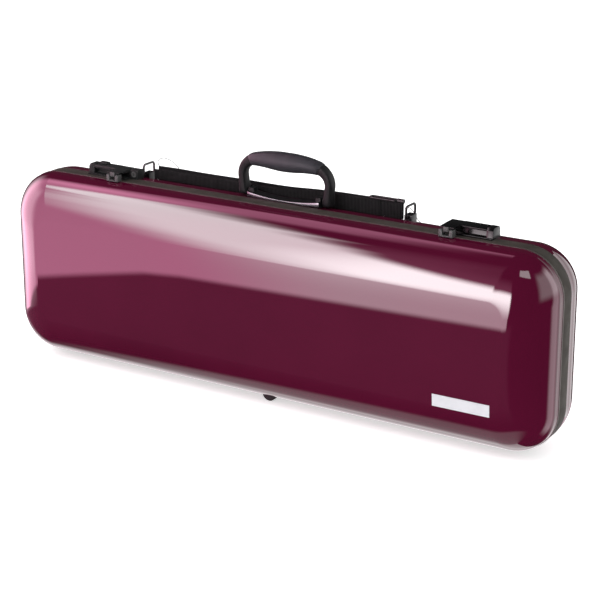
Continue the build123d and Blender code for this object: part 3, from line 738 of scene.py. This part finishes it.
# ---- Studio ----------------------------------------------------------------------------------
def studio():
    """White floor and camera background; the gloss reflects a dark room with soft white panels."""
    floor_mat = Mat("studio_floor", (0.93, 0.93, 0.93, 1), 0.9)
    floor_mat.b.inputs["Specular IOR Level"].default_value = 0.0
    floor_mat.b.inputs["Emission Color"].default_value = (1, 1, 1, 1)
    floor_mat.b.inputs["Emission Strength"].default_value = 0.55
    bpy.ops.mesh.primitive_plane_add(size=30, location=(0, 0, -0.0005))
    floor = bpy.context.object
    floor.name = "studio_floor"
    floor.data.materials.append(floor_mat.m)
    floor.visible_glossy = False

    world = bpy.data.worlds.new("studio")
    bpy.context.scene.world = world
    world.use_nodes = True
    nt = world.node_tree
    nt.nodes.clear()
    out = nt.nodes.new("ShaderNodeOutputWorld")
    plain_sky = nt.nodes.new("ShaderNodeBackground")
    plain_sky.inputs["Color"].default_value = (1, 1, 1, 1)
    plain_sky.inputs["Strength"].default_value = 1.0
    panels = nt.nodes.new("ShaderNodeBackground")
    rosy_panels = nt.nodes.new("ShaderNodeBackground")
    room = nt.nodes.new("ShaderNodeAddShader")
    nt.links.new(panels.outputs[0], room.inputs[0])
    nt.links.new(rosy_panels.outputs[0], room.inputs[1])
    mix = nt.nodes.new("ShaderNodeMixShader")
    path = nt.nodes.new("ShaderNodeLightPath")
    nt.links.new(path.outputs["Is Glossy Ray"], mix.inputs["Fac"])
    nt.links.new(plain_sky.outputs[0], mix.inputs[1])
    nt.links.new(room.outputs[0], mix.inputs[2])
    nt.links.new(mix.outputs[0], out.inputs["Surface"])

    def math_node(operation, a, b=None, c=None):
        n = nt.nodes.new("ShaderNodeMath")
        n.operation = operation
        for i, v in enumerate((a, b, c)):
            if v is None:
                continue
            if isinstance(v, (int, float)):
                n.inputs[i].default_value = v
            else:
                nt.links.new(v, n.inputs[i])
        return n.outputs[0]

    def step(value, low, high):
        """0 below low, 1 above high, smooth between."""
        n = nt.nodes.new("ShaderNodeMapRange")
        n.interpolation_type = "SMOOTHSTEP"
        n.inputs["From Min"].default_value = low
        n.inputs["From Max"].default_value = high
        nt.links.new(value, n.inputs["Value"])
        return n.outputs["Result"]

    coord = nt.nodes.new("ShaderNodeTexCoord")
    split = nt.nodes.new("ShaderNodeSeparateXYZ")
    nt.links.new(coord.outputs["Generated"], split.inputs[0])
    x, y, z = split.outputs
    degrees = 180 / math.pi
    ahead_y = math_node("MULTIPLY", y, -1.0)
    azimuth = math_node("MULTIPLY", math_node("ARCTAN2", x, ahead_y), degrees)
    elevation = math_node("MULTIPLY", math_node("ARCSINE", z), degrees)

    def mul(*values):
        total = values[0]
        for v in values[1:]:
            total = math_node("MULTIPLY", total, v)
        return total

    def add_up(*values):
        total = values[0]
        for v in values[1:]:
            total = math_node("ADD", total, v)
        return total

    def fall(value, low, high):
        return math_node("SUBTRACT", 1.0, step(value, low, high))

    def line(value, points):
        """A level that follows straight runs between (value, level) points."""
        xs, ys = [p[0] for p in points], [p[1] for p in points]
        floor, span = min(ys), max(ys) - min(ys)
        unit = nt.nodes.new("ShaderNodeMapRange")
        unit.inputs["From Min"].default_value = xs[0]
        unit.inputs["From Max"].default_value = xs[-1]
        nt.links.new(value, unit.inputs["Value"])
        ramp = nt.nodes.new("ShaderNodeValToRGB")
        while len(ramp.color_ramp.elements) < len(points):
            ramp.color_ramp.elements.new(0.5)
        for element, x_at, y_at in zip(ramp.color_ramp.elements, xs, ys):
            element.position = (x_at - xs[0]) / (xs[-1] - xs[0])
            level = (y_at - floor) / span
            element.color = (level, level, level, 1)
        nt.links.new(unit.outputs["Result"], ramp.inputs["Fac"])
        return math_node("MULTIPLY_ADD", ramp.outputs["Color"], span, floor)

    left = math_node("MULTIPLY", azimuth, -1.0)

    # Outlines (in degrees) and levels are set to fit the gloss in one front view. They aren't
    # a known studio. First a white panel ahead, and the rosy wall to its left.
    bottom = line(azimuth, [(-180, -22), (-60, -20), (-43, -20), (-36, -14.5), (180, -14.5)])
    above_bottom = math_node("SUBTRACT", elevation, bottom)
    lower = step(above_bottom, -0.5, 0.7)
    ahead = fall(azimuth, -5.0, -2.5)
    crest_points = [(-180, 50), (-90, 54), (-70, 53), (-50, 48), (-36, 34), (-26, 14), (-22, 8), (180, 4)]
    crest = line(azimuth, crest_points)
    over = math_node("SUBTRACT", elevation, crest)
    beside = fall(left, 92.0, 112.0)
    wall = mul(lower, ahead, beside, fall(over, -1.0, 5.0))
    edge_points = [(-20, -31), (0, -32), (8, -34), (16, -38), (24, -41), (32, -46), (40, -52), (46, -60)]
    edge_points += [(50, -75), (60, -90)]
    past_edge = math_node("SUBTRACT", azimuth, line(elevation, edge_points))
    core = step(past_edge, -4.0, 3.0)
    hot = mul(step(azimuth, -34.0, -27.0), step(elevation, -7.0, 5.0), step(past_edge, 0.0, 6.0))
    # A dim fade above the panel, the floor's fade below it, and the ends of the room.
    halo = mul(lower, ahead, beside, fall(over, 0.0, 26.0), step(azimuth, -60.0, -25.0))
    ceiling = mul(step(left, 75.0, 95.0), fall(left, 122.0, 130.0), step(elevation, 49.0, 53.0),
                  fall(elevation, 60.0, 66.0))
    under = mul(math_node("SUBTRACT", 1.0, lower), step(elevation, -52.0, -18.0), fall(azimuth, 0.0, 10.0))
    left_end = mul(step(left, 50.0, 62.0), step(elevation, -24.0, -15.0), fall(elevation, 20.0, 44.0),
                   fall(left, 100.0, 125.0))
    right_end = mul(step(azimuth, 52.0, 68.0), step(elevation, -6.0, 10.0), fall(elevation, 40.0, 58.0),
                    fall(azimuth, 120.0, 150.0))
    window = mul(step(azimuth, 9.0, 13.0), fall(azimuth, 42.0, 46.0), step(elevation, 44.0, 47.0),
                 fall(elevation, 62.0, 65.0))
    table = mul(step(left, 95.0, 125.0), fall(elevation, -35.0, -20.0))
    near = mul(fall(elevation, -57.0, -52.0), fall(azimuth, 0.0, 55.0))
    right_side = mul(step(azimuth, 92.0, 104.0), fall(azimuth, 118.0, 136.0), step(elevation, -60.0, -40.0),
                     fall(elevation, 40.0, 58.0))
    right_back = mul(step(azimuth, 122.0, 140.0), step(elevation, -50.0, -30.0),
                     fall(elevation, 15.0, 40.0))
    beyond = math_node("MULTIPLY_ADD", core, -0.7, 1.0)
    rosy = add_up(mul(right_side, 0.8), mul(wall, beyond, 5.4), mul(halo, 1.6), mul(ceiling, 3.2),
                  mul(under, 0.35), mul(left_end, 1.5))
    white = add_up(mul(wall, core, step(elevation, -13.0, -2.0), 7.5), mul(wall, hot, 9.0),
                   mul(wall, core, 3.6), mul(right_side, 2.4), mul(right_back, 1.7), mul(left_end, 2.2),
                   mul(right_end, 2.4), mul(window, 5.0), mul(table, 1.3), mul(near, 1.0), 0.03)
    nt.links.new(rosy, rosy_panels.inputs["Strength"])
    nt.links.new(white, panels.inputs["Strength"])
    rosy_panels.inputs["Color"].default_value = (1.0, 0.38, 0.60, 1)
    panels.inputs["Color"].default_value = (1, 1, 1, 1)


studio()


def area_light(name, place, target, size, power):
    """A soft light that shades the case and isn't seen in its gloss."""
    data = bpy.data.lights.new(name, "AREA")
    data.energy = power
    data.size = size
    obj = bpy.data.objects.new(name, data)
    bpy.context.collection.objects.link(obj)
    obj.location = place
    obj.rotation_euler = (Vector(target) - Vector(place)).to_track_quat("-Z", "Y").to_euler()
    obj.visible_camera = False
    obj.visible_glossy = False
    return obj


area_light("key", (-1.2, -1.8, 2.4), (0, 0, 0.15), 1.6, 30)

# ---- Camera ----------------------------------------------------------------------------------
AZIMUTH, ELEVATION, DISTANCE = 31.66, 18.45, 2.3071
FOCAL_PX, SIDE, RISE = 1823.8, 0.03448, 0.00226
a, e = math.radians(AZIMUTH), math.radians(ELEVATION)
back = Vector((math.sin(a) * math.cos(e), -math.cos(a) * math.cos(e), math.sin(e)))
right = Vector((math.cos(a), math.sin(a), 0))
up = back.cross(right)
aim = Vector((0, SEAM_Y * MM, MID_Z * MM)) + right * SIDE + up * RISE
camera_data = bpy.data.cameras.new("camera")
camera = bpy.data.objects.new("camera", camera_data)
bpy.context.collection.objects.link(camera)
facing = Matrix((right, up, back)).transposed().to_4x4()
camera.matrix_world = Matrix.Translation(aim + back * DISTANCE) @ facing
camera_data.sensor_width = 36
camera_data.lens = 36 * FOCAL_PX / 600
camera_data.clip_end = 50
bpy.context.scene.camera = camera
bpy.context.scene.view_settings.view_transform = "Standard"

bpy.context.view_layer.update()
